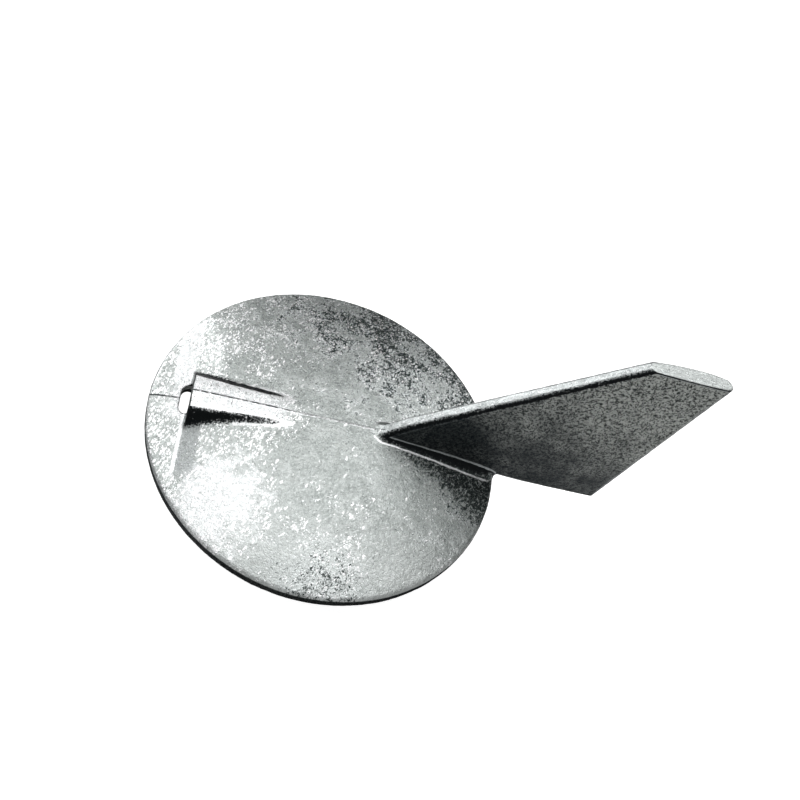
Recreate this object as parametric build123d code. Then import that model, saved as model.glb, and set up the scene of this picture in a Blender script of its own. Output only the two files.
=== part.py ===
from build123d import *
import math
import os

# Sacrificial trim-tab anode for an outboard or sterndrive gearcase.
# One zinc-alloy casting (disc, water hood, swept fin and mounting hub) holds
# a steel threaded insert that is cast into its hub.
#
# Units are millimetres and +Z is up.  The origin is the centre of the hub's
# end face, at the mouth of the threaded hole.  +X runs from the disc's leading
# edge towards the fin's trailing edge, and the shape's centre plane is Y = 0.

# ---- disc -------------------------------------------------------------------
DISC_RADIUS = 47.5
RIM_THICKNESS = 3.0
CROWN_RISE = 6.0
RIM_TOP_ROUND = 0.8
RIM_BOTTOM_ROUND = 0.5

# ---- mounting hub and seat --------------------------------------------------
HUB_HEIGHT = 20.0
HUB_RADIUS = 14.0
HUB_DRAFT = 0.7
HUB_EDGE = 0.8
HUB_ROOT_ROUND = 3.0
SEAT_LAND_WIDTH = 8.0
SEAT_RELIEF = 1.0

SERRATION_COUNT = 24
SERRATION_DEPTH = 0.8
SERRATION_INNER_RADIUS = 9.6
SERRATION_OVERRUN = 2.0

# ---- flattened leading segment ----------------------------------------------
FOLD_X = -37.5
FOLD_CENTRE_RISE = 1.7
STEP_WIDTH = 2.6

# ---- water hood and the slot under it ---------------------------------------
HOOD_HALF_WIDTH = 5.1
HOOD_REAR_HALF_WIDTH = 3.0
HOOD_WALL_SLOPE = 0.7
HOOD_EDGE_ROUND = 0.8
SLOT_FRONT_X = -39.7
SLOT_REAR_X = -27.5
SLOT_WIDTH = 8.7
SLOT_ROOF_RISE = 3.6
SLOT_CORNER_ROUND = 2.0
SLOT_THROAT_ROUND = 4.0

# ---- fin: places are given above the rim's top edge -------------------------
FIN_HEIGHT = 55.5
NOSE_X = 12.4
NOSE_RISE = 5.7
NOSE_SHOULDER_X = 16.1
NOSE_SHOULDER_RISE = 10.45
KNUCKLE_X = 64.2
TIP_END_X = 86.6
HEEL_X = 79.4
HEEL_RISE = -2.2
KEEL_START_RISE = 0.4
FIN_LEADING_HALF = 1.6
FIN_TRAILING_HALF = 1.7
FIN_TRAILING_ROUND = 1.4
FIN_ROOT_NEAR_HALF = 3.2
FIN_ROOT_FAR_HALF = 3.4
FIN_TIP_NEAR_HALF = 2.0
FIN_TIP_FAR_HALF = 2.6
FIN_BELLY = 0.62

# ---- threaded insert ---------------------------------------------------------
INSERT_ACROSS_FLATS = 15.0
INSERT_LENGTH = 22.0
INSERT_GROOVE_Z = 12.0
INSERT_GROOVE_WIDTH = 3.0
INSERT_GROOVE_RADIUS = 6.3
THREAD_WALL_RADIUS = 4.25
THREAD_DEPTH = 18.0
DRILL_POINT = 2.4

# ---- worked-out places --------------------------------------------------------
SEAT_Z = HUB_HEIGHT
RELIEF_Z = SEAT_Z + SEAT_RELIEF
RIM_Z = HUB_HEIGHT + RIM_THICKNESS
CROWN_Z = RIM_Z + CROWN_RISE
LAND_INNER_RADIUS = DISC_RADIUS - SEAT_LAND_WIDTH
DOME_RADIUS = (DISC_RADIUS**2 + CROWN_RISE**2) / (2 * CROWN_RISE)
FOLD_HALF_LENGTH = math.sqrt(DISC_RADIUS**2 - FOLD_X**2)
FAR = 200.0
CLOSE = 0.01  # how near two lengths are when they count as the same


def dome_z(radius):
    """Height of the domed face at a distance from the disc's axis."""
    return CROWN_Z - DOME_RADIUS + math.sqrt(DOME_RADIUS**2 - radius**2)


def disc_and_hub():
    """The turned shape: domed disc, relieved mounting side and drafted hub."""
    outline = Polyline(
        (0, CROWN_Z),
        (0, 0),
        (HUB_RADIUS - HUB_EDGE, 0),
        (HUB_RADIUS, HUB_EDGE),
        (HUB_RADIUS + HUB_DRAFT, RELIEF_Z),
        (LAND_INNER_RADIUS, RELIEF_Z),
        (LAND_INNER_RADIUS + SEAT_RELIEF, SEAT_Z),
        (DISC_RADIUS, SEAT_Z),
        (DISC_RADIUS, RIM_Z),
    )
    half_way = DISC_RADIUS / 2
    dome = ThreePointArc((DISC_RADIUS, RIM_Z), (half_way, dome_z(half_way)), (0, CROWN_Z))
    turned = revolve(Plane.XZ * make_face(outline + dome), Axis.Z)
    hub_root = turned.edges().filter_by(GeomType.CIRCLE).filter_by(
        lambda edge: abs(edge.radius - HUB_RADIUS - HUB_DRAFT) < CLOSE
    )
    turned = fillet(hub_root, HUB_ROOT_ROUND)
    rim = turned.edges().filter_by(GeomType.CIRCLE).filter_by(
        lambda edge: abs(edge.radius - DISC_RADIUS) < CLOSE
    )
    turned = fillet(rim.sort_by(Axis.Z)[0], RIM_BOTTOM_ROUND)
    rim = turned.edges().filter_by(GeomType.CIRCLE).filter_by(
        lambda edge: abs(edge.radius - DISC_RADIUS) < CLOSE
    )
    return fillet(rim.sort_by(Axis.Z)[-1], RIM_TOP_ROUND)


def space_above(point, along, across):
    """A large block that fills the space above a plane through a point."""
    normal = Vector(*along).cross(Vector(*across)).normalized()
    if normal.Z < 0:
        normal = -normal
    plane = Plane(origin=point, x_dir=Vector(*along), z_dir=normal)
    return plane * Box(FAR, FAR, FAR, align=(Align.CENTER, Align.CENTER, Align.MIN))


def leading_cut(side):
    """What one tilted facet, and the step behind it, take off the dome."""
    fold_centre = (FOLD_X, 0, RIM_Z + FOLD_CENTRE_RISE)
    fold_line = (0, side * FOLD_HALF_LENGTH, -FOLD_CENTRE_RISE)
    to_tip = (-DISC_RADIUS - FOLD_X, 0, -FOLD_CENTRE_RISE)
    step_rise = dome_z(FOLD_X + STEP_WIDTH) - fold_centre[2]
    facet = space_above(fold_centre, fold_line, to_tip)
    step = space_above(fold_centre, fold_line, (STEP_WIDTH, 0, step_rise))
    half = Box(FAR, FAR, FAR, align=(Align.MAX, Align.MIN if side > 0 else Align.MAX, Align.CENTER))
    return facet & step & half


def hood_section(x, half_width):
    """The hood's cross-section: a level top and sloping walls."""
    foot_z = RIM_Z - RIM_THICKNESS / 2
    foot = half_width + HOOD_WALL_SLOPE * (CROWN_Z - foot_z)
    points = [(-foot, foot_z), (-half_width, CROWN_Z), (half_width, CROWN_Z), (foot, foot_z)]
    plane = Plane(origin=(x, 0, 0), x_dir=(0, 1, 0), z_dir=(1, 0, 0))
    return plane * make_face(Polyline(*points, close=True))


def hood():
    """The raised water hood, level with the crown and narrowing rearwards."""
    front = hood_section(FOLD_X, HOOD_HALF_WIDTH)
    rear = hood_section(0, HOOD_REAR_HALF_WIDTH)
    solid = loft([front, rear], ruled=True)
    top_edges = solid.edges().filter_by(lambda edge: abs(edge.center().Z - CROWN_Z) < CLOSE)
    long_edges = top_edges.sort_by(SortBy.LENGTH)[-2:]
    return fillet(long_edges, HOOD_EDGE_ROUND)


def slot_passage():
    """The water passage: open in front of the hood, roofed over behind it."""
    roof_z = RIM_Z + SLOT_ROOF_RISE
    floor_z = SEAT_Z - RIM_THICKNESS
    top_z = CROWN_Z + RIM_THICKNESS
    side_view = Polyline(
        (SLOT_FRONT_X, floor_z),
        (SLOT_FRONT_X, top_z),
        (FOLD_X, top_z),
        (FOLD_X, roof_z),
        (SLOT_REAR_X, roof_z),
        (SLOT_REAR_X, floor_z),
        close=True,
    )
    face = Plane.XZ * make_face(side_view)
    passage = extrude(face, SLOT_WIDTH / 2, both=True)
    rear_edges = passage.edges().filter_by(Axis.Y).filter_by(
        lambda edge: abs(edge.center().X - SLOT_REAR_X) < CLOSE
    )
    throat = rear_edges.sort_by(Axis.Z)[-1]
    passage = fillet(throat, SLOT_THROAT_ROUND)
    front_corners = passage.edges().filter_by(Axis.Z).filter_by(
        lambda edge: abs(edge.center().X - SLOT_FRONT_X) < CLOSE
    )
    return fillet(front_corners, SLOT_CORNER_ROUND)


def fin_trailing_x(rise):
    """The fin's straight trailing edge, at a height above the rim."""
    share = (rise - HEEL_RISE) / (FIN_HEIGHT - HEEL_RISE)
    return HEEL_X + share * (TIP_END_X - HEEL_X)


def fin_section(rise, leading_x):
    """One level section of the fin: round nose, full belly, rounded end."""
    up = rise / FIN_HEIGHT
    near = FIN_ROOT_NEAR_HALF + up * (FIN_TIP_NEAR_HALF - FIN_ROOT_NEAR_HALF)
    far = FIN_ROOT_FAR_HALF + up * (FIN_TIP_FAR_HALF - FIN_ROOT_FAR_HALF)
    trailing_x = fin_trailing_x(rise)
    nose_x = leading_x + FIN_LEADING_HALF
    end_x = trailing_x - FIN_TRAILING_ROUND
    belly_x = nose_x + FIN_BELLY * (end_x - nose_x)
    outline = [
        ThreePointArc((nose_x, FIN_LEADING_HALF), (leading_x, 0), (nose_x, -FIN_LEADING_HALF)),
        ThreePointArc((nose_x, -FIN_LEADING_HALF), (belly_x, -near), (end_x, -FIN_TRAILING_HALF)),
        ThreePointArc((end_x, -FIN_TRAILING_HALF), (trailing_x, 0), (end_x, FIN_TRAILING_HALF)),
        ThreePointArc((end_x, FIN_TRAILING_HALF), (belly_x, far), (nose_x, FIN_LEADING_HALF)),
    ]
    return Plane.XY.offset(RIM_Z + rise) * make_face(outline)


def fin():
    """The swept fin: a low nose block, the straight blade and a flat tip."""
    nose_low = fin_section(-RIM_THICKNESS, NOSE_X)
    nose_foot = fin_section(NOSE_RISE, NOSE_X)
    shoulder = fin_section(NOSE_SHOULDER_RISE, NOSE_SHOULDER_X)
    tip = fin_section(FIN_HEIGHT, KNUCKLE_X)
    blade = loft([nose_low, nose_foot], ruled=True)
    blade += loft([nose_foot, shoulder], ruled=True)
    blade += loft([shoulder, tip], ruled=True)
    keel_run = (HEEL_X - DISC_RADIUS, 0, HEEL_RISE - KEEL_START_RISE)
    keel_start = (DISC_RADIUS, 0, RIM_Z + KEEL_START_RISE)
    overhang = Box(FAR, FAR, FAR, align=(Align.MIN, Align.CENTER, Align.CENTER))
    above_keel = space_above(keel_start, keel_run, (0, 1, 0))
    below_keel = Pos(DISC_RADIUS - RIM_TOP_ROUND, 0, 0) * overhang - above_keel
    under_disc = Pos(DISC_RADIUS, 0, RIM_Z - RIM_THICKNESS / 2) * Box(
        FAR, FAR, FAR, align=(Align.MAX, Align.CENTER, Align.MAX)
    )
    return blade - below_keel - under_disc


def serrations():
    """Radial V grooves that index the hub against the gearcase."""
    reach = HUB_RADIUS - SERRATION_INNER_RADIUS + SERRATION_OVERRUN
    side = SERRATION_DEPTH * math.sqrt(2)
    groove = Box(reach, side, side, align=(Align.MIN, Align.CENTER, Align.CENTER), rotation=(45, 0, 0))
    step = 360 / SERRATION_COUNT
    return [
        Rot(0, 0, index * step) * Pos(SERRATION_INNER_RADIUS, 0, 0) * groove
        for index in range(SERRATION_COUNT)
    ]


def insert_blank():
    """The insert's outer shape: hexagon bar with a locking groove."""
    hexagon = RegularPolygon(INSERT_ACROSS_FLATS / 2, 6, major_radius=False)
    bar = extrude(hexagon, INSERT_LENGTH)
    across = INSERT_ACROSS_FLATS * 2
    ring = Cylinder(across, INSERT_GROOVE_WIDTH) - Cylinder(INSERT_GROOVE_RADIUS, INSERT_GROOVE_WIDTH)
    return bar - Pos(0, 0, INSERT_GROOVE_Z) * ring


def threaded_insert():
    """The steel insert with its blind threaded hole, open at the origin."""
    bore = Cylinder(THREAD_WALL_RADIUS, THREAD_DEPTH, align=(Align.CENTER, Align.CENTER, Align.MIN))
    point = Cone(THREAD_WALL_RADIUS, 0, DRILL_POINT, align=(Align.CENTER, Align.CENTER, Align.MIN))
    return insert_blank() - bore - Pos(0, 0, THREAD_DEPTH) * point


def anode_casting():
    """The whole zinc casting, with the insert's seat left open in its hub."""
    casting = disc_and_hub()
    casting -= [leading_cut(1), leading_cut(-1)]
    casting += hood()
    casting += fin()
    casting -= slot_passage()
    casting -= serrations()
    return casting - insert_blank()


os.makedirs("parts", exist_ok=True)
export_step(anode_casting(), "parts/anode_casting.step")
export_step(threaded_insert(), "parts/threaded_insert.step")
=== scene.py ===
import functools
import math

import bpy
import numpy as np
from mathutils import Matrix, Vector, noise


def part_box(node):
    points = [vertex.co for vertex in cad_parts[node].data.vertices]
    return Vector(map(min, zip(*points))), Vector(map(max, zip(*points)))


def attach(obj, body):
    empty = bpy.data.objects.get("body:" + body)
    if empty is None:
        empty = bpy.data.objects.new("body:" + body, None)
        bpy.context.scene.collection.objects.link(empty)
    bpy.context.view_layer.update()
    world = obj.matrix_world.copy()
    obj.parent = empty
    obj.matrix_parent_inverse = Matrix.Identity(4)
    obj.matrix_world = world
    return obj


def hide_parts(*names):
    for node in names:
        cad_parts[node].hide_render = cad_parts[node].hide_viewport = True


# Looks of the trim-tab anode: the casting's surface with its rounded edges,
# fillets, parting line and cast relief, the steel insert with its thread, and
# their materials, floor, lights and camera.
# Shapes are worked out in millimetres in the row frame: +Z up, the origin at
# the mouth of the hub's threaded hole, +X towards the fin's trailing edge.

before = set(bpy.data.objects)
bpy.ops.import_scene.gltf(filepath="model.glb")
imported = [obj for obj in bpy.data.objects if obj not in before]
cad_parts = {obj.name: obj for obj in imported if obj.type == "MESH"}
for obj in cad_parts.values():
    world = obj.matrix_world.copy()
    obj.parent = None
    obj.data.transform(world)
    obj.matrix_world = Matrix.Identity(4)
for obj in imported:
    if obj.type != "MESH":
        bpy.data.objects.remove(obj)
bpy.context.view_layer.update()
casting_low, casting_high = (corner * 1000 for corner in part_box("anode_casting"))
_, insert_high = (corner * 1000 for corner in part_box("threaded_insert"))
MM = 0.001
FULL_TURN = 2 * math.pi

# ---- sizes taken from the frame --------------------------------------------------
DISC_RADIUS = -casting_low.x
TIP_Z = casting_high.z
TIP_END_X = casting_high.x
INSERT_TOP_Z = insert_high.z
INSERT_HALF_FLATS = insert_high.y

# ---- the casting's other sizes, as the solid model has them -----------------------
SEAT_Z = 20.0
RELIEF_Z = 21.0
LAND_INNER_RADIUS = 39.5
RIM_Z = 23.0
CROWN_RISE = 6.0
CROWN_Z = RIM_Z + CROWN_RISE
DOME_RADIUS = (DISC_RADIUS**2 + CROWN_RISE**2) / (2 * CROWN_RISE)
RIM_TOP_ROUND = 0.8
RIM_BOTTOM_ROUND = 0.5

HUB_RADIUS = 14.0
HUB_DRAFT = 0.7 / RELIEF_Z
HUB_EDGE = 0.8
HUB_ROOT_ROUND = 3.0
SERRATION_COUNT = 24
SERRATION_DEPTH = 0.8
SERRATION_INNER_RADIUS = 9.6

FOLD_X = -37.5
FOLD_RISE = 1.7
FOLD_HALF_LENGTH = math.sqrt(DISC_RADIUS**2 - FOLD_X**2)

HOOD_HALF_WIDTH = 5.1
HOOD_TAPER = 0.056
HOOD_WALL_SLOPE = 0.7
SLOT_FRONT_X = -39.7
SLOT_REAR_X = -27.5
SLOT_HALF_WIDTH = 4.35
SLOT_ROOF_Z = RIM_Z + 3.6
SLOT_THROAT_ROUND = 4.0
SLOT_CORNER_ROUND = 2.0

NOSE = (12.4, RIM_Z + 5.7)
SHOULDER = (16.1, RIM_Z + 10.45)
KNUCKLE = (64.2, TIP_Z)
TIP_END = (TIP_END_X, TIP_Z)
HEEL = (79.4, RIM_Z - 2.2)
KEEL_START = (DISC_RADIUS, RIM_Z + 0.4)

INSERT_GROOVE = (10.5, 13.5)
INSERT_GROOVE_RADIUS = 6.3
THREAD_WALL_RADIUS = 4.25
THREAD_DEPTH = 18.0
THREAD_MOUTH = 0.5
DRILL_POINT = 2.4

# ---- details of the surface that only the looks have --------------------------------
# the fold: a soft crease, a shallow ramp before it and a small step down behind it
CREASE_SOFTNESS = 0.3
DOME_REACH = 50.0
RAMP_START_X = -41.8
RAMP_SKEW = 0.5
RAMP_SLOPE = 0.13
STEP_SLOPE = 0.32
STEP_DROP = 0.8
STEP_CREASE = 0.25
DOME_CREASE = 0.3

# the hood's top: crowned across, and dipping into the dome towards the rear
HOOD_RISE = 0.1
HOOD_CROWNING = 0.014
HOOD_REAR_DIP = 2.0
HOOD_DIPS = (-18, 0)
HOOD_EDGE_ROUND = 0.6
HOOD_LIP_ROUND = 0.3
HOOD_ROOT_ROUND = 0.9
HOOD_FOOT_Z = SEAT_Z + 1.5

# the fin: where along it the belly is, half thicknesses at its edges, how much the
# belly adds, and the roundings
FIN_BELLY = 0.62
FIN_NEAR_EDGE = 2.2
FIN_NEAR_THINNING = 0.5
FIN_NEAR_BELLY = 1.0
FIN_FAR_EDGE = 1.6
FIN_FAR_BELLY = 1.8
FIN_SHOULDER_ROUND = 0.8
FIN_CORNER_ROUND = 1.0
FIN_NEAR_ROUND = 1.3
FIN_FAR_ROUND = 0.8
FIN_TRAILING_ROUND = 1.5
FIN_TIP_ROUND = 0.4

# the fillet at the fin's foot, which widens along the disc and narrows past its rim
FIN_ROOT_ROUND = 1.7
FIN_ROOT_GROWTH = 1.4
FIN_ROOT_WIDENS = (14, 44)
FIN_ROOT_LOSS = 2.0
FIN_ROOT_NARROWS = (45, 50)

# the thread cut into the insert's hole
THREAD_PITCH = 1.5
THREAD_FORM_DEPTH = 0.7
THREAD_RUN_OUT = 2.0
THREAD_FLANK_SCALE = 0.6  # turns the gap across the flanks into nearly a true distance

PARTING_HEIGHT = 0.13
PARTING_WIDTH = 0.17
SLOT_EDGE_ROUND = 0.35
SEAM_ROUND = 0.15
SERRATION_ROUND = 0.1

# the as-cast relief's waves, ripples and grain: cycles per mm and height in mm
CAST_RELIEF = ((0.16, 0.05), (0.55, 0.035), (1.25, 0.03))


# ---- signed distances -------------------------------------------------------------
def rounded_and(a, b, radius):
    """The part common to two shapes, with its outer edge rounded."""
    outside = np.hypot(np.maximum(a + radius, 0), np.maximum(b + radius, 0))
    return np.minimum(np.maximum(a, b), -radius) + outside


def rounded_or(a, b, radius):
    """Two shapes joined, with a fillet in the corner between them."""
    inside = np.hypot(np.maximum(radius - a, 0), np.maximum(radius - b, 0))
    return np.maximum(np.minimum(a, b), radius) - inside


def smooth_max(a, b, width):
    """The larger of two heights, with the crease between them softened."""
    overlap = np.maximum(width - np.abs(a - b), 0)
    return np.maximum(a, b) + overlap * overlap / (4 * width)


def smooth_min(a, b, width):
    """The smaller of two heights, with the crease between them softened."""
    return -smooth_max(-a, -b, width)


def smooth_step(low, high, value):
    """Nothing at low, rising smoothly to one at high; low may be the larger."""
    share = np.clip((value - low) / (high - low), 0, 1)
    return share * share * (3 - 2 * share)


def side_of(x, z, start, end):
    """Distance to the left of a line in the fin's plane, from start to end."""
    run, rise = end[0] - start[0], end[1] - start[1]
    length = math.hypot(run, rise)
    return ((z - start[1]) * run - (x - start[0]) * rise) / length


def line_x(z, start, end):
    """Where a line in the fin's plane passes a height."""
    return start[0] + (z - start[1]) * (end[0] - start[0]) / (end[1] - start[1])


# ---- the casting's shape ------------------------------------------------------------
def top_height(x, y):
    """Height of the domed face, with its flattened leading segment."""
    spread = np.hypot(y, CREASE_SOFTNESS)
    from_axis = np.minimum(np.hypot(x, y), DOME_REACH)
    dome = CROWN_Z - DOME_RADIUS + np.sqrt(DOME_RADIUS**2 - from_axis**2)
    fold = RIM_Z + FOLD_RISE * (1 - spread / FOLD_HALF_LENGTH)
    facet = fold + (x - FOLD_X) * FOLD_RISE / (DISC_RADIUS + FOLD_X)
    ramp = facet - RAMP_SLOPE * np.maximum(x - RAMP_START_X - RAMP_SKEW * spread, 0)
    approach = facet + (ramp - facet) * smooth_step(FOLD_X + 0.9, FOLD_X - 0.1, x)
    step = fold + (x - FOLD_X) * STEP_SLOPE
    step = step - STEP_DROP * smooth_step(FOLD_X + 0.2, FOLD_X - 0.9, x)
    return smooth_min(dome, smooth_max(approach, step, STEP_CREASE), DOME_CREASE)


def disc(x, y, z):
    """The domed disc, with a relief inside the seating land on its mounting side."""
    radius = np.hypot(x, y)
    body = rounded_and((z - top_height(x, y)) * 0.98, radius - DISC_RADIUS, RIM_TOP_ROUND)
    relief = np.clip(RELIEF_Z + LAND_INNER_RADIUS - radius, SEAT_Z, RELIEF_Z)
    return rounded_and(body, relief - z, RIM_BOTTOM_ROUND)


def hub(x, y, z):
    """The drafted hub with V serrations across its end face."""
    radius = np.hypot(x, y)
    side = radius - HUB_RADIUS - HUB_DRAFT * z
    body = rounded_and(side, -z, HUB_EDGE)
    angle = np.arctan2(y, x) * SERRATION_COUNT / FULL_TURN
    from_groove = (angle - np.round(angle)) * FULL_TURN / SERRATION_COUNT
    groove = (np.abs(radius * np.sin(from_groove)) + z - SERRATION_DEPTH) / math.sqrt(2)
    groove = np.maximum(groove, SERRATION_INNER_RADIUS - radius)
    body = rounded_and(body, -groove, SERRATION_ROUND)
    return np.maximum(body, z - RIM_Z - 1)


def hood(x, y, z):
    """The water hood: sloping walls and a top that dips into the dome at the rear."""
    half_width = HOOD_HALF_WIDTH - HOOD_TAPER * (x - FOLD_X)
    crowned = CROWN_Z + HOOD_RISE - HOOD_CROWNING * y * y
    crowned = crowned - HOOD_REAR_DIP * smooth_step(*HOOD_DIPS, x)
    lean = math.hypot(1, HOOD_WALL_SLOPE)
    wall = (np.abs(y) - half_width - HOOD_WALL_SLOPE * (CROWN_Z - z)) / lean
    body = rounded_and(wall, z - crowned, HOOD_EDGE_ROUND)
    body = rounded_and(body, FOLD_X - x, HOOD_LIP_ROUND)
    return np.maximum(np.maximum(body, x - 1), HOOD_FOOT_Z - z)


def slot_passage(x, y, z):
    """The water's way down through the disc, roofed over behind the fold."""
    throat = rounded_and(x - SLOT_REAR_X, z - SLOT_ROOF_Z, SLOT_THROAT_ROUND)
    length = np.minimum(throat, x - FOLD_X)
    front = rounded_and(np.abs(y) - SLOT_HALF_WIDTH, SLOT_FRONT_X - x, SLOT_CORNER_ROUND)
    return rounded_and(front, length, 0.2)


def fin(x, y, z):
    """The swept fin: rounded edges, a fuller far side and a flat ground tip."""
    up = np.clip((z - RIM_Z) / (TIP_Z - RIM_Z), 0, 1)
    leading_x = line_x(z, SHOULDER, KNUCKLE)
    trailing_x = line_x(z, HEEL, TIP_END)
    along = np.clip((x - leading_x) / (trailing_x - leading_x), 0, 1)
    fore = np.maximum(FIN_BELLY - along, 0) / FIN_BELLY
    aft = np.maximum(along - FIN_BELLY, 0) / (1 - FIN_BELLY)
    belly = 1 - fore * fore - aft * aft
    near_half = FIN_NEAR_EDGE - FIN_NEAR_THINNING * up + belly * (FIN_NEAR_BELLY - 0.7 * up)
    far_half = FIN_FAR_EDGE + belly * (FIN_FAR_BELLY - 0.8 * up)
    sides = np.maximum(y - far_half, -y - near_half)
    blade_front = side_of(x, z, SHOULDER, KNUCKLE)
    front = smooth_max(blade_front, side_of(x, z, NOSE, SHOULDER), FIN_SHOULDER_ROUND)
    outline = rounded_and(front, side_of(x, z, TIP_END, HEEL), FIN_CORNER_ROUND)
    keel = side_of(x, z, HEEL, KEEL_START)
    outline = rounded_and(outline, keel, FIN_CORNER_ROUND)
    leading_round = np.where(y < 0, FIN_NEAR_ROUND, FIN_FAR_ROUND)
    towards_rear = smooth_step(0.3, 0.9, along)
    edge_round = leading_round + (FIN_TRAILING_ROUND - leading_round) * towards_rear
    blade = rounded_and(sides, outline, edge_round)
    return rounded_and(blade, z - TIP_Z, FIN_TIP_ROUND)


def insert_bore(x, y, z):
    """The blind threaded hole, with a small chamfer at its mouth."""
    radius = np.hypot(x, y)
    turns = z / THREAD_PITCH - np.arctan2(y, x) / FULL_TURN
    from_crest = 2 * np.abs(turns - np.round(turns))
    cut = smooth_step(THREAD_DEPTH - 1, THREAD_DEPTH - THREAD_RUN_OUT, z)
    root = np.clip(1.3 * from_crest - 0.15, 0, 1) * cut
    threaded = THREAD_WALL_RADIUS + THREAD_FORM_DEPTH * root
    mouth = THREAD_WALL_RADIUS + THREAD_MOUTH - z
    wall = (radius - np.maximum(threaded, mouth)) * THREAD_FLANK_SCALE
    slope = THREAD_WALL_RADIUS / DRILL_POINT
    point = radius - slope * (THREAD_DEPTH + DRILL_POINT - z)
    return np.maximum(wall, point / math.hypot(1, slope))


def insert_pocket(x, y, z):
    """The space that the cast-in insert fills."""
    sector = FULL_TURN / 6
    angle = np.arctan2(x, y)
    from_flat = angle - np.round(angle / sector) * sector
    radius = np.hypot(x, y)
    hexagon = np.maximum(radius * np.cos(from_flat) - INSERT_HALF_FLATS, z - INSERT_TOP_Z)
    low, high = INSERT_GROOVE
    ring = np.maximum(np.maximum(low - z, z - high), INSERT_GROOVE_RADIUS - radius)
    return np.maximum(hexagon, -ring)


def casting(x, y, z):
    """Signed distance to the whole casting's surface."""
    fin_root = FIN_ROOT_ROUND + FIN_ROOT_GROWTH * smooth_step(*FIN_ROOT_WIDENS, x)
    fin_root = fin_root - FIN_ROOT_LOSS * smooth_step(*FIN_ROOT_NARROWS, x)
    body = rounded_or(disc(x, y, z), hub(x, y, z), HUB_ROOT_ROUND)
    body = rounded_or(body, hood(x, y, z), HOOD_ROOT_ROUND)
    body = rounded_or(body, fin(x, y, z), fin_root)
    on_top = smooth_step(RIM_Z - 2, RIM_Z + 0.2, z) * smooth_step(CROWN_Z + 2, CROWN_Z + 0.6, z)
    body = body - PARTING_HEIGHT * on_top * np.exp(-((y / PARTING_WIDTH) ** 2))
    body = rounded_and(body, -slot_passage(x, y, z), SLOT_EDGE_ROUND)
    return rounded_and(body, -insert_pocket(x, y, z), SEAM_ROUND)


def insert(x, y, z):
    """Signed distance to the cast-in insert: its outer shape less its thread."""
    bar = rounded_and(insert_pocket(x, y, z), -z, 0.2)
    return np.maximum(bar, -insert_bore(x, y, z))


# ---- turning a signed distance into a mesh --------------------------------------------
def graded(*stretches):
    """Grid lines along one axis: (start, end, spacing) stretches end to end."""
    lines = [stretches[0][0]]
    for start, end, spacing in stretches:
        count = max(1, round((end - start) / spacing))
        lines.extend(start + (end - start) * (i + 1) / count for i in range(count))
    return np.array(lines)


def sample(shape, xs, ys, zs):
    """The shape's signed distance at every grid point, one slab at a time."""
    field = np.empty((len(xs), len(ys), len(zs)), np.float32)
    for i in range(0, len(xs), 16):
        field[i:i + 16] = shape(xs[i:i + 16, None, None], ys[None, :, None], zs[None, None, :])
    return field


def crossing_points(field, axes, cells):
    """For each crossed cell, the mean of the points where its edges cross."""
    total = np.zeros((len(cells[0]), 3))
    count = np.zeros(len(cells[0]))
    for axis in range(3):
        others = [a for a in range(3) if a != axis]
        for step_a in (0, 1):
            for step_b in (0, 1):
                start = [c.copy() for c in cells]
                start[others[0]] += step_a
                start[others[1]] += step_b
                end = [c.copy() for c in start]
                end[axis] += 1
                at_start = field[tuple(start)]
                at_end = field[tuple(end)]
                crossed = (at_start < 0) != (at_end < 0)
                gap = np.where(crossed, at_start - at_end, 1)
                share = at_start / gap
                for a in range(3):
                    low = axes[a][start[a]]
                    high = axes[a][end[a]]
                    total[:, a] += np.where(crossed, low + (high - low) * share, 0)
                count += crossed
    return total / count[:, None]


def surface_net(field, axes):
    """Vertices and quads of the field's zero surface, facing outwards."""
    inside = field < 0
    shape = tuple(n - 1 for n in field.shape)
    corners = np.zeros(shape, np.uint8)
    for i in (0, 1):
        for j in (0, 1):
            for k in (0, 1):
                corners += inside[i:i + shape[0], j:j + shape[1], k:k + shape[2]]
    cells = np.nonzero((corners > 0) & (corners < 8))
    index = np.full(shape, -1, np.int32)
    index[cells] = np.arange(len(cells[0]))
    vertices = crossing_points(field, axes, cells)
    quads = []
    for axis in range(3):
        turned = np.moveaxis(inside, axis, 0)
        numbers = np.moveaxis(index, axis, 0)
        first, second = turned[:-1, 1:-1, 1:-1], turned[1:, 1:-1, 1:-1]
        for low_inside in (True, False):
            i, j, k = np.nonzero((first != second) & (first == low_inside))
            beside = [(j, k), (j + 1, k), (j + 1, k + 1), (j, k + 1)]
            ring = [numbers[i, across, up] for across, up in beside]
            # moveaxis keeps the other two axes in order, which mirrors the middle axis
            forward = low_inside != (axis == 1)
            quads.append(np.stack(ring if forward else ring[::-1], axis=1))
    return vertices, np.concatenate(quads)


def gradient(shape, points, reach=0.02):
    """The slope of a shape's signed distance at each point."""
    slope = np.empty_like(points)
    for axis in range(3):
        step = np.zeros(3)
        step[axis] = reach
        ahead, behind = points + step, points - step
        slope[:, axis] = (shape(*ahead.T) - shape(*behind.T)) / (2 * reach)
    return slope


def settle(shape, points, rounds=3, most=0.25):
    """Moves points onto the exact surface, by at most a little each round."""
    for _ in range(rounds):
        slope = gradient(shape, points)
        steepness = np.maximum((slope * slope).sum(axis=1), 0.05)
        move = -shape(*points.T) / steepness
        step = slope * move[:, None]
        length = np.linalg.norm(step, axis=1)
        step *= np.minimum(1, most / np.maximum(length, 1e-9))[:, None]
        points = points + step
    return points


def cast_relief(points):
    """Small heights, in mm, of an as-cast surface."""
    heights = np.zeros(len(points))
    for i, (x, y, z) in enumerate(points):
        for scale, height in CAST_RELIEF:
            heights[i] += height * noise.noise((x * scale, y * scale, z * scale))
    return heights


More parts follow.
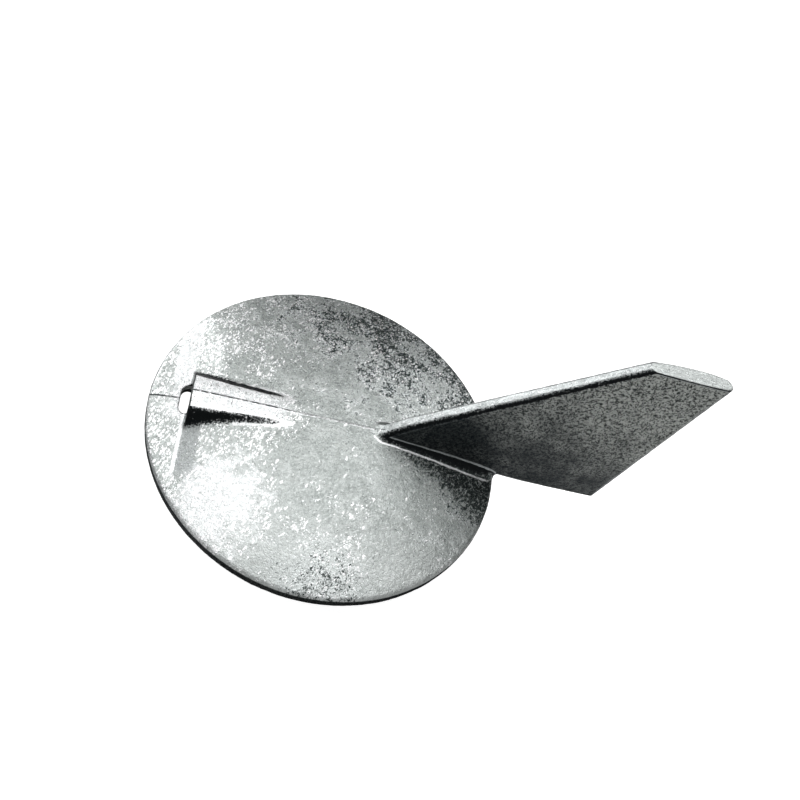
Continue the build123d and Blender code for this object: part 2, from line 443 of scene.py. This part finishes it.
def mesh_object(name, points_mm, faces, material, sharp_degrees=50):
    """A smooth-shaded object from points in millimetres, with crisp sharp edges."""
    mesh = bpy.data.meshes.new(name)
    mesh.from_pydata((points_mm * MM).tolist(), [], faces.tolist())
    mesh.materials.append(material)
    mesh.shade_smooth()
    mesh.set_sharp_from_angle(angle=math.radians(sharp_degrees))
    thing = bpy.data.objects.new(name, mesh)
    bpy.context.collection.objects.link(thing)
    return thing


def casting_piece(material):
    """The casting's mesh, finer at the rim, hood, parting line and fin's edges."""
    coarse = 0.67
    fine = 0.33
    xs = graded(
        (-48.6, -47, fine), (-47, -41, coarse), (-41, -35, fine), (-35, 84, coarse),
        (84, 88, fine),
    )
    ys = graded(
        (-48.6, -46.4, fine), (-46.4, -6, coarse), (-6, -0.6, fine), (-0.6, 0.6, 0.12),
        (0.6, 6, fine), (6, 46.4, coarse), (46.4, 48.6, fine),
    )
    zs = graded(
        (-0.9, 1.8, fine), (1.8, 19, coarse), (19, 30, fine), (30, 76.5, coarse),
        (76.5, 79.4, fine),
    )
    field = sample(casting, xs, ys, zs)
    points, quads = surface_net(field, (xs, ys, zs))
    points = settle(casting, points)
    normals = gradient(casting, points)
    normals /= np.linalg.norm(normals, axis=1)[:, None]
    heights = points[:, 2]
    as_cast = smooth_step(TIP_Z - 0.3, TIP_Z - 1.5, heights) * smooth_step(0.3, 2, heights)
    points += normals * (cast_relief(points) * as_cast)[:, None]
    piece = mesh_object("cast_body", points, quads, material)
    print("casting", len(points), "vertices", len(quads), "quads")
    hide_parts("anode_casting")
    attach(piece, "root")


def insert_piece(material):
    """The threaded insert's mesh."""
    spacing = 0.3
    rise = 0.2
    across = graded((-9.3, 9.3, spacing))  # a little wider than the hexagon's corners
    zs = graded((-0.5, 22.5, rise))
    points, quads = surface_net(sample(insert, across, across, zs), (across, across, zs))
    points = settle(insert, points)
    piece = mesh_object("insert_body", points, quads, material, sharp_degrees=35)
    print("insert", len(points), "vertices", len(quads), "quads")
    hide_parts("threaded_insert")
    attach(piece, "root")


# ---- materials ------------------------------------------------------------------------
# colours, from the darkest to the brightest
REFLECTION_BLACK = (0.008, 0.010, 0.011, 1)
RIM_SHADE_BLACK = (0.006, 0.007, 0.008, 1)
RIM_SHADE_GREY = (0.05, 0.055, 0.055, 1)
DEEP_WALL_SHADE = (0.008, 0.014, 0.018, 1)
DEEP_WALL_SHADE_GRAIN = (0.07, 0.08, 0.08, 1)
PALE_WALL_SHADE = (0.03, 0.038, 0.034, 1)
PALE_WALL_SHADE_GRAIN = (0.56, 0.585, 0.56, 1)
LIP_DARK = (0.03, 0.035, 0.035, 1)
SPECK = (0.04, 0.052, 0.05, 1)
FLASH_DARK = (0.05, 0.06, 0.06, 1)
FOLD_GREY = (0.30, 0.315, 0.32, 1)
CALM_DARK = (0.31, 0.335, 0.325, 1)
CALM_LIGHT = (0.42, 0.445, 0.435, 1)
CALM_GRAIN = (0.50, 0.53, 0.52, 1)
LEADING_HIGHLIGHT_DIM = (0.36, 0.385, 0.385, 1)
LEADING_HIGHLIGHT_BRIGHT = (0.56, 0.59, 0.59, 1)
GROUND_DARK = (0.38, 0.40, 0.395, 1)
GROUND_LIGHT = (0.60, 0.63, 0.62, 1)
EDGE_HIGHLIGHT_LINE = (0.50, 0.53, 0.54, 1)
NEAR_SIDE_LIGHT = (0.66, 0.69, 0.68, 1)
SHADE_SPECK_GROUND = (0.80, 0.84, 0.84, 1)
ROOT_HIGHLIGHT = (0.90, 0.91, 0.92, 1)
GLARE_WHITE = (0.92, 0.94, 0.95, 1)
STROKE_AND_GLINT = (0.95, 0.96, 0.97, 1)
LEADING_GRAIN = (0.97, 0.98, 0.98, 1)
SCRATCH = (0.98, 0.98, 0.99, 1)
FLECK = (1.0, 1.0, 1.0, 1)
STEEL_DARK = (0.34, 0.33, 0.31, 1)
STEEL_LIGHT = (0.62, 0.60, 0.57, 1)
FLOOR_LIT = (0.65, 0.65, 0.65, 1)
FLOOR_SEEN = (0.88, 0.88, 0.88, 1)

# places on the disc, in mm
DARK_PATCH = (2, -46, RIM_Z)
HIGHLIGHT_PATCH = (-26, -27, RIM_Z)


class Nodes:
    """A material's node tree, with short ways to add and join nodes."""

    def __init__(self, name):
        self.material = bpy.data.materials.new(name)
        self.material.use_nodes = True
        self.tree = self.material.node_tree
        self.tree.nodes.clear()
        self.shader = self.add("ShaderNodeBsdfPrincipled")
        output = self.add("ShaderNodeOutputMaterial")
        self.join(self.shader.outputs["BSDF"], output.inputs["Surface"])

    def add(self, kind, **settings):
        node = self.tree.nodes.new(kind)
        for name, value in settings.items():
            setattr(node, name, value)
        return node

    def join(self, source, target):
        self.tree.links.new(source, target)

    def put(self, value, target):
        if isinstance(value, bpy.types.NodeSocket):
            self.join(value, target)
        else:
            target.default_value = value

    def millimetres(self):
        """Object coordinates, in millimetres."""
        place = self.add("ShaderNodeTexCoord")
        scale = self.add("ShaderNodeVectorMath", operation="SCALE")
        self.join(place.outputs["Object"], scale.inputs[0])
        scale.inputs["Scale"].default_value = 1000
        return scale.outputs[0]

    def parts(self, vector):
        """A vector's three components."""
        node = self.add("ShaderNodeSeparateXYZ")
        self.join(vector, node.inputs[0])
        return node.outputs[:]

    def noise(self, where, scale, detail=2.0, roughness=0.5, distortion=0.0):
        node = self.add("ShaderNodeTexNoise")
        self.join(where, node.inputs["Vector"])
        node.inputs["Scale"].default_value = scale
        node.inputs["Detail"].default_value = detail
        node.inputs["Roughness"].default_value = roughness
        node.inputs["Distortion"].default_value = distortion
        return node.outputs["Fac"]

    def warp(self, where, scale, reach):
        """A place pushed about by noise, so that regular shapes turn ragged."""
        node = self.add("ShaderNodeTexNoise")
        self.join(where, node.inputs["Vector"])
        node.inputs["Scale"].default_value = scale
        push = self.add("ShaderNodeVectorMath", operation="MULTIPLY_ADD")
        self.join(node.outputs["Color"], push.inputs[0])
        push.inputs[1].default_value = (reach, reach, reach)
        self.join(where, push.inputs[2])
        return push.outputs[0]

    def stretch(self, where, angle, across, along):
        """A place turned about Z and scaled, for marks drawn out in one direction."""
        turn = self.add("ShaderNodeVectorRotate", rotation_type="Z_AXIS")
        self.join(where, turn.inputs["Vector"])
        turn.inputs["Angle"].default_value = angle
        scale = self.add("ShaderNodeVectorMath", operation="MULTIPLY")
        self.join(turn.outputs[0], scale.inputs[0])
        scale.inputs[1].default_value = (across, along, across)
        return scale.outputs[0]

    def math(self, operation, a, b=0.0, clamp=False):
        node = self.add("ShaderNodeMath", operation=operation, use_clamp=clamp)
        self.put(a, node.inputs[0])
        self.put(b, node.inputs[1])
        return node.outputs[0]

    def spread(self, value, low, high, to_low=0.0, to_high=1.0):
        """Maps a range of values smoothly onto another."""
        node = self.add("ShaderNodeMapRange", interpolation_type="SMOOTHSTEP")
        self.join(value, node.inputs["Value"])
        node.inputs["From Min"].default_value = low
        node.inputs["From Max"].default_value = high
        node.inputs["To Min"].default_value = to_low
        node.inputs["To Max"].default_value = to_high
        return node.outputs["Result"]

    def fade(self, value, low, high):
        """One below low, falling smoothly to nothing at high."""
        return self.spread(value, low, high, 1.0, 0.0)

    def plus(self, *values):
        """The sum of two or more values."""
        return functools.reduce(lambda a, b: self.math("ADD", a, b), values)

    def times(self, *values):
        """The product of two or more values."""
        return functools.reduce(lambda a, b: self.math("MULTIPLY", a, b), values)

    def most(self, *values):
        """The largest of two or more values."""
        return functools.reduce(lambda a, b: self.math("MAXIMUM", a, b), values)

    def about_zero(self, value, gain):
        """A noise value moved to lie about zero, and made stronger."""
        return self.math("MULTIPLY", self.math("SUBTRACT", value, 0.5), gain)

    def band(self, value, low, high, soft):
        """One between low and high, fading to nothing just outside them."""
        rise = self.spread(value, low - soft, low)
        return self.times(rise, self.fade(value, high, high + soft))

    def distance(self, where, point):
        node = self.add("ShaderNodeVectorMath", operation="DISTANCE")
        self.join(where, node.inputs[0])
        node.inputs[1].default_value = point
        return node.outputs["Value"]

    def mix(self, share, a, b):
        """Blends two colours."""
        node = self.add("ShaderNodeMix", data_type="RGBA")
        self.put(share, node.inputs["Factor"])
        for colour, name in ((a, "A"), (b, "B")):
            socket = next(s for s in node.inputs if s.name == name and s.type == "RGBA")
            self.put(colour, socket)
        return next(s for s in node.outputs if s.type == "RGBA")

    def bump(self, height, distance, strength):
        node = self.add("ShaderNodeBump")
        self.join(height, node.inputs["Height"])
        node.inputs["Distance"].default_value = distance
        node.inputs["Strength"].default_value = strength
        return node.outputs["Normal"]


def marks(n, where, scale, size, density):
    """Separate blots, as many as the density asks for, one when inside a blot."""
    node = n.add("ShaderNodeTexVoronoi")
    n.join(where, node.inputs["Vector"])
    node.inputs["Scale"].default_value = scale
    shape = n.fade(node.outputs["Distance"], size * 0.75, size)
    chance = n.parts(node.outputs["Color"])[0]
    present = n.spread(n.math("SUBTRACT", density, chance), -0.02, 0.02)
    return n.times(shape, present)


def skin_tone(n, place):
    """The disc's colour: calm grey with bright strokes and dark specks, gathered into painted
    highlights and painted shade.
    """
    x, y, z = n.parts(place)
    on_top = n.spread(z, RIM_Z - 1.4, RIM_Z - 0.8)
    broad = n.noise(place, 0.05, 3, 0.6, 0.5)
    middle = n.noise(place, 0.17, 4, 0.6, 0.8)
    small = n.noise(place, 0.45, 3, 0.6, 0.6)
    worms = n.noise(n.stretch(place, 0.5, 1.0, 0.6), 1.8, 4, 0.75, 1.1)
    warped = n.warp(place, 0.9, 1.3)

    # painted shade, drawn as dense dark specks on a paler ground: heaviest towards the back
    # as a painted reflection of the dark surroundings, in a wedge at the foot of the fin as
    # its painted shadow and reflection, and in a dark patch by the near rim; patchy at random
    lean = n.plus(n.times(x, 0.0135), n.times(y, 0.014))
    uneven = n.about_zero(middle, 2.0)
    wide = n.about_zero(broad, 1.2)
    painted_shade = n.spread(n.plus(lean, wide, uneven), 0.0, 0.95)
    wedge = n.spread(n.plus(y, n.times(x, 0.60)), 0, 12)
    fin_foot_shade = n.times(wedge, on_top, n.fade(y, -2, -1))
    dark_patch = n.times(n.fade(n.distance(place, DARK_PATCH), 3, 16), 0.6)
    painted_shade = n.most(painted_shade, fin_foot_shade, dark_patch)
    patchy = n.about_zero(small, 0.8)
    dark = n.plus(painted_shade, n.times(patchy, n.spread(painted_shade, 0.0, 0.3)))

    # bright strokes: the skin's marks, gathered into a painted highlight towards the front, on
    # the hood's top and in a patch at the front of the near side
    bright = n.plus(n.times(broad, 2.2), n.times(small, 1.2))
    bright = n.spread(n.math("SUBTRACT", bright, n.times(x, 0.010)), 1.70, 2.15)
    highlight_patches = n.plus(n.distance(place, HIGHLIGHT_PATCH), n.times(uneven, 17.0))
    highlight_patches = n.fade(highlight_patches, 5, 17)
    hood_top = n.fade(n.math("ABSOLUTE", y), 5, 6.5)
    hood_top = n.times(hood_top, n.band(x, FOLD_X + 0.3, -18, 9.0))

    # the fold: brighter before it on the far side, a painted glint just before it on the near
    # side, and smooth and grey behind it on the near side
    before = n.times(n.band(x, FOLD_X - 4.5, FOLD_X - 0.3, 0.6), n.spread(y, 3, 6))
    before = n.times(before, n.spread(small, 0.30, 0.42))
    near = n.times(n.band(y, -20, -6, 4.0), on_top)
    behind = n.times(n.band(x, FOLD_X + 0.2, FOLD_X + 3.4, 1.6), near)
    crest_glint = n.times(n.band(x, FOLD_X - 0.9, FOLD_X - 0.3, 0.3), near)
    glare_and_strip = n.times(n.most(hood_top, highlight_patches, before), on_top)
    bright = n.times(n.most(bright, glare_and_strip), n.math("SUBTRACT", 1.0, behind))

    calm = n.mix(n.spread(middle, 0.36, 0.64), CALM_DARK, CALM_LIGHT)
    calm = n.mix(n.spread(worms, 0.47, 0.60), calm, CALM_GRAIN)
    # painted light: the calm grey turns paler towards the near rim
    calm = n.mix(n.spread(y, -38, -22, 0.5, 0.0), calm, NEAR_SIDE_LIGHT)
    # the painted shade's paler ground between its specks
    shade_ground_share = n.math("MULTIPLY", n.math("SUBTRACT", painted_shade, fin_foot_shade), 0.8, clamp=True)
    tone = n.mix(shade_ground_share, calm, SHADE_SPECK_GROUND)
    # painted highlight on the hood's top and the patch, and the bright strip before the fold
    tone = n.mix(n.times(glare_and_strip, 0.6), tone, GLARE_WHITE)
    tone = n.mix(n.times(behind, 0.6), tone, FOLD_GREY)

    strokes = n.plus(n.times(bright, 0.95), 0.03)
    tone = n.mix(marks(n, n.stretch(warped, 0.45, 1.0, 0.34), 1.3, 0.42, strokes), tone, SCRATCH)
    tone = n.mix(marks(n, n.stretch(warped, 0.2, 1.0, 0.6), 2.1, 0.40, bright), tone, STROKE_AND_GLINT)
    # painted glint along the fold's crest
    tone = n.mix(n.times(crest_glint, 0.8), tone, STROKE_AND_GLINT)
    # dark specks, denser where the painted shade lies
    shifted = n.math("SUBTRACT", worms, n.times(dark, 0.215))
    tone = n.mix(n.fade(shifted, 0.335, 0.355), tone, SPECK)
    # white flecks in the painted shade, but not in the fin's foot
    flecks = n.times(n.math("SUBTRACT", painted_shade, fin_foot_shade), 0.40)
    tone = n.mix(marks(n, n.stretch(warped, 0.7, 1.0, 0.5), 1.9, 0.38, flecks), tone, FLECK)
    scratches = marks(n, n.stretch(place, 1.15, 3.2, 0.13), 1.0, 0.22, 0.05)
    return n.mix(n.times(scratches, 0.8), tone, SCRATCH)


def wall_shade_tone(n, place):
    """Painted shade on walls that face the near side: darkest low down and next to the disc,
    lighter higher, further back and on the hood.
    """
    x, _, z = n.parts(place)
    far_out = n.plus(n.times(x, 0.25), n.times(z, 0.75))
    clouds = n.about_zero(n.noise(place, 0.12, 3, 0.6, 0.6), 1.2)
    on_hood = n.spread(x, -6, 0, 0.55, 0.0)
    lit = n.plus(n.spread(far_out, 32, 68), on_hood)
    share = n.math("ADD", lit, clouds, clamp=True)
    fine = n.noise(place, 1.4, 4, 0.75, 1.0)
    low = n.mix(n.spread(fine, 0.48, 0.54), DEEP_WALL_SHADE, DEEP_WALL_SHADE_GRAIN)
    high = n.mix(n.spread(fine, 0.46, 0.52), PALE_WALL_SHADE, PALE_WALL_SHADE_GRAIN)
    return n.mix(share, low, high)


def leading_highlight_tone(n, place, grit):
    """The fin's smooth leading edge, with a painted highlight that is brighter in random
    patches.
    """
    highlight_patches = n.spread(n.noise(place, 0.4, 4, 0.65), 0.35, 0.65)
    tone = n.mix(highlight_patches, LEADING_HIGHLIGHT_DIM, LEADING_HIGHLIGHT_BRIGHT)
    return n.mix(n.spread(grit, 0.56, 0.62), tone, LEADING_GRAIN)


def painted_edge_reflections(n, place, facing, grit, tone):
    """Painted reflections of the dark surroundings beside the fin's and hood's edges and roots,
    with painted highlight lines.
    """
    x, y, z = n.parts(place)
    ahead, side, _ = facing
    sideways = n.math("ABSOLUTE", side)

    # only on what stands up from the disc, near its centre plane
    raised = n.fade(n.math("ABSOLUTE", y), 8, 10)
    raised = n.times(raised, n.spread(z, RIM_Z + 0.2, RIM_Z + 0.7))
    not_trailing = n.times(raised, n.fade(ahead, 0.12, 0.3))
    level = n.times(raised, n.spread(ahead, -0.13, -0.06))
    near = n.spread(side, 0.0, 0.1, 1.0, 0.35)
    strength = n.most(near, n.fade(x, -5, 0))

    # a painted dark reflection lies where the surface turns from level to upright
    ragged = n.times(n.math("SUBTRACT", grit, 0.5), raised)
    far_side = n.times(n.most(side, 0.0), 0.6)
    start = n.plus(sideways, far_side, n.times(ragged, 2.2))
    end = n.plus(sideways, n.times(ragged, 0.35))
    band = n.times(n.spread(start, 0.32, 0.44), n.fade(end, 0.93, 0.97))
    tone = n.mix(n.times(band, strength, not_trailing), tone, REFLECTION_BLACK)
    # painted highlight lines along the fillets, low by the disc and high by the walls
    low_line = n.times(n.band(sideways, 0.12, 0.28, 0.04), level, strength)
    tone = n.mix(low_line, tone, ROOT_HIGHLIGHT)
    high_line = n.times(n.band(sideways, 0.945, 0.985, 0.008), level, not_trailing)
    return n.mix(n.times(high_line, near), tone, EDGE_HIGHLIGHT_LINE)


def hood_lip(n, place, facing, tone):
    """The dark lip along the hood's front edge."""
    x, _, z = n.parts(place)
    at_front = n.fade(x, FOLD_X + 0.5, FOLD_X + 0.8)
    lip = n.times(at_front, n.spread(z, RIM_Z + 3, RIM_Z + 3.3))
    return n.mix(n.times(lip, n.spread(facing[0], -0.15, -0.3)), tone, LIP_DARK)


def parting_line(n, place, tone):
    """The line down the middle of the disc and hood, dark where flash broke away."""
    x, y, z = n.parts(place)
    broken = n.spread(n.noise(place, 0.45, 3, 0.7), 0.40, 0.52)
    on_disc = n.band(z, RIM_Z - 0.6, CROWN_Z + 0.6, 0.4)
    before_crown = n.fade(x, -14, -7)
    narrow = n.fade(n.math("ABSOLUTE", y), 0.10, 0.26)
    return n.mix(n.times(broken, on_disc, before_crown, narrow), tone, FLASH_DARK)


def ground_tone(n, place):
    """The bright ground end of the fin, with fine lines along it."""
    along = n.add("ShaderNodeMapping")
    n.join(place, along.inputs["Vector"])
    along.inputs["Scale"].default_value = (0.12, 1.6, 1.0)
    lines = n.noise(along.outputs["Vector"], 2.0, 3, 0.7)
    return n.mix(n.spread(lines, 0.35, 0.65), GROUND_DARK, GROUND_LIGHT)


def zinc_material():
    """As-cast zinc: a bright crinkled skin with painted highlights and shade, walls with painted
    shade, and a ground tip.
    """
    n = Nodes("as_cast_zinc")
    place = n.millimetres()
    height = n.parts(place)[2]
    facing = n.parts(n.add("ShaderNodeTexCoord").outputs["Normal"])
    upward = n.math("ABSOLUTE", facing[2])
    grit = n.noise(place, 2.3, 3, 0.6, 0.8)

    # walls that face the near side get painted shade, darker than the skin; the rim's side is
    # painted dark all round as shade
    wall = n.fade(upward, 0.30, 0.62)
    near_wall_shade = n.times(wall, n.fade(facing[1], 0.2, 0.6))
    tone = n.mix(near_wall_shade, skin_tone(n, place), wall_shade_tone(n, place))
    # surfaces that face forward get the leading edge's painted highlight
    tone = n.mix(n.spread(facing[0], -0.45, -0.6), tone, leading_highlight_tone(n, place, grit))
    # painted shade: the rim's side is coloured near black with grey grit
    rim_side = n.times(wall, n.band(height, SEAT_Z, RIM_Z - 0.5, 0.2))
    rim_shade = n.mix(n.spread(grit, 0.45, 0.62), RIM_SHADE_BLACK, RIM_SHADE_GREY)
    tone = n.mix(n.times(rim_side, 0.95), tone, rim_shade)
    tone = painted_edge_reflections(n, place, facing, grit, tone)
    tone = hood_lip(n, place, facing, tone)
    tone = parting_line(n, place, tone)
    at_tip = n.spread(height, TIP_Z - 0.4, TIP_Z - 0.1)
    ground = n.times(at_tip, n.spread(upward, 0.8, 0.95))
    n.join(n.mix(ground, tone, ground_tone(n, place)), n.shader.inputs["Base Color"])

    # the painted rim shade is also made matt and not metallic, so that it stays dark
    n.join(n.spread(rim_side, 0.0, 1.0, 0.92, 0.0), n.shader.inputs["Metallic"])
    n.join(n.spread(rim_side, 0.0, 1.0, 0.5, 0.0), n.shader.inputs["Specular IOR Level"])
    worn = n.plus(n.spread(grit, 0.35, 0.65, 0.26, 0.42), n.times(rim_side, 0.4))
    n.join(worn, n.shader.inputs["Roughness"])
    relief = n.plus(n.noise(place, 0.9, 3, 0.7, 1.2), n.times(grit, 0.5))
    n.join(n.bump(relief, 0.00018, 0.9), n.shader.inputs["Normal"])
    return n.material


def steel_material():
    """Plain machined steel of the insert."""
    n = Nodes("insert_steel")
    clouds = n.noise(n.millimetres(), 1.1, 4, 0.6)
    n.join(n.mix(clouds, STEEL_DARK, STEEL_LIGHT), n.shader.inputs["Base Color"])
    n.shader.inputs["Metallic"].default_value = 1.0
    n.join(n.spread(clouds, 0.3, 0.7, 0.28, 0.48), n.shader.inputs["Roughness"])
    return n.material


def floor_material():
    """A pale floor, lit from within for the camera so that shadows stay light."""
    n = Nodes("pale_floor")
    n.shader.inputs["Roughness"].default_value = 0.95
    seen = n.add("ShaderNodeLightPath").outputs["Is Camera Ray"]
    n.join(n.mix(seen, FLOOR_LIT, FLOOR_SEEN), n.shader.inputs["Base Color"])
    n.shader.inputs["Emission Color"].default_value = (1, 1, 1, 1)
    away = n.distance(n.add("ShaderNodeTexCoord").outputs["Object"], (0, 0, 0))
    glow = n.times(seen, n.spread(away, 0.15, 0.5, 0.80, 1.0))
    n.join(glow, n.shader.inputs["Emission Strength"])
    return n.material


# ---- stage ------------------------------------------------------------------------------
# in metres; the roll makes the fin point right
CAMERA_PLACE = Vector((-0.0418, -0.1310, 0.2178))
CAMERA_TARGET = Vector((0.0194, 0.0156, 0.0230))
CAMERA_ROLL_DEGREES = 30.6
LENS_MM = 40
SENSOR_MM = 36
FLOOR_SIZE = 6

# the surroundings' strength behind the part and before it, as the metal sees them
WORLD_BEHIND = 0.12
WORLD_BEFORE = 0.45


def add_floor():
    bpy.ops.mesh.primitive_plane_add(size=FLOOR_SIZE, location=(0, 0, 0))
    floor = bpy.context.object
    floor.name = "floor"
    floor.data.materials.append(floor_material())


def add_camera():
    """A view from before and above the disc."""
    data = bpy.data.cameras.new("camera")
    data.lens = LENS_MM
    data.sensor_width = SENSOR_MM
    camera = bpy.data.objects.new("camera", data)
    turn = (CAMERA_TARGET - CAMERA_PLACE).to_track_quat("-Z", "Y").to_matrix().to_4x4()
    roll = Matrix.Rotation(math.radians(CAMERA_ROLL_DEGREES), 4, "Z")
    camera.matrix_world = Matrix.Translation(CAMERA_PLACE) @ turn @ roll
    bpy.context.collection.objects.link(camera)
    bpy.context.scene.camera = camera


def add_light(name, place, target, size, power):
    data = bpy.data.lights.new(name, "AREA")
    data.shape = "RECTANGLE"
    data.size, data.size_y = size
    data.energy = power
    lamp = bpy.data.objects.new(name, data)
    lamp.location = place
    lamp.rotation_euler = (Vector(target) - Vector(place)).to_track_quat("-Z", "Y").to_euler()
    bpy.context.collection.objects.link(lamp)


def add_lights():
    add_light("overhead", (0.02, 0.17, 0.62), (0, 0, 0.02), (0.76, 0.52), 2.45)
    add_light("left_back", (-0.47, 0.53, 0.32), (0, 0, 0.03), (0.50, 0.42), 2.25)
    add_light("right_high", (0.38, 0.40, 0.44), (0.05, 0, 0.05), (0.25, 0.25), 0.5)


def set_world():
    """White to the camera; to the metal, dim behind and half bright in front."""
    world = bpy.data.worlds.new("studio")
    bpy.context.scene.world = world
    world.use_nodes = True
    tree = world.node_tree
    seen = tree.nodes.new("ShaderNodeLightPath").outputs["Is Camera Ray"]
    split = tree.nodes.new("ShaderNodeSeparateXYZ")
    tree.links.new(tree.nodes.new("ShaderNodeTexCoord").outputs["Generated"], split.inputs[0])
    around = tree.nodes.new("ShaderNodeMapRange")
    around.inputs["From Min"].default_value = 0.2
    around.inputs["From Max"].default_value = -0.5
    around.inputs["To Min"].default_value = WORLD_BEHIND
    around.inputs["To Max"].default_value = WORLD_BEFORE
    tree.links.new(split.outputs["Y"], around.inputs["Value"])
    strength = tree.nodes.new("ShaderNodeMath")
    strength.operation = "MAXIMUM"
    tree.links.new(seen, strength.inputs[0])
    tree.links.new(around.outputs["Result"], strength.inputs[1])
    background = tree.nodes["Background"]
    background.inputs["Color"].default_value = (1, 1, 1, 1)
    tree.links.new(strength.outputs[0], background.inputs["Strength"])


add_camera()
add_floor()
add_lights()
set_world()
bpy.context.scene.view_settings.view_transform = "Standard"

zinc = zinc_material()
steel = steel_material()
casting_piece(zinc)
insert_piece(steel)
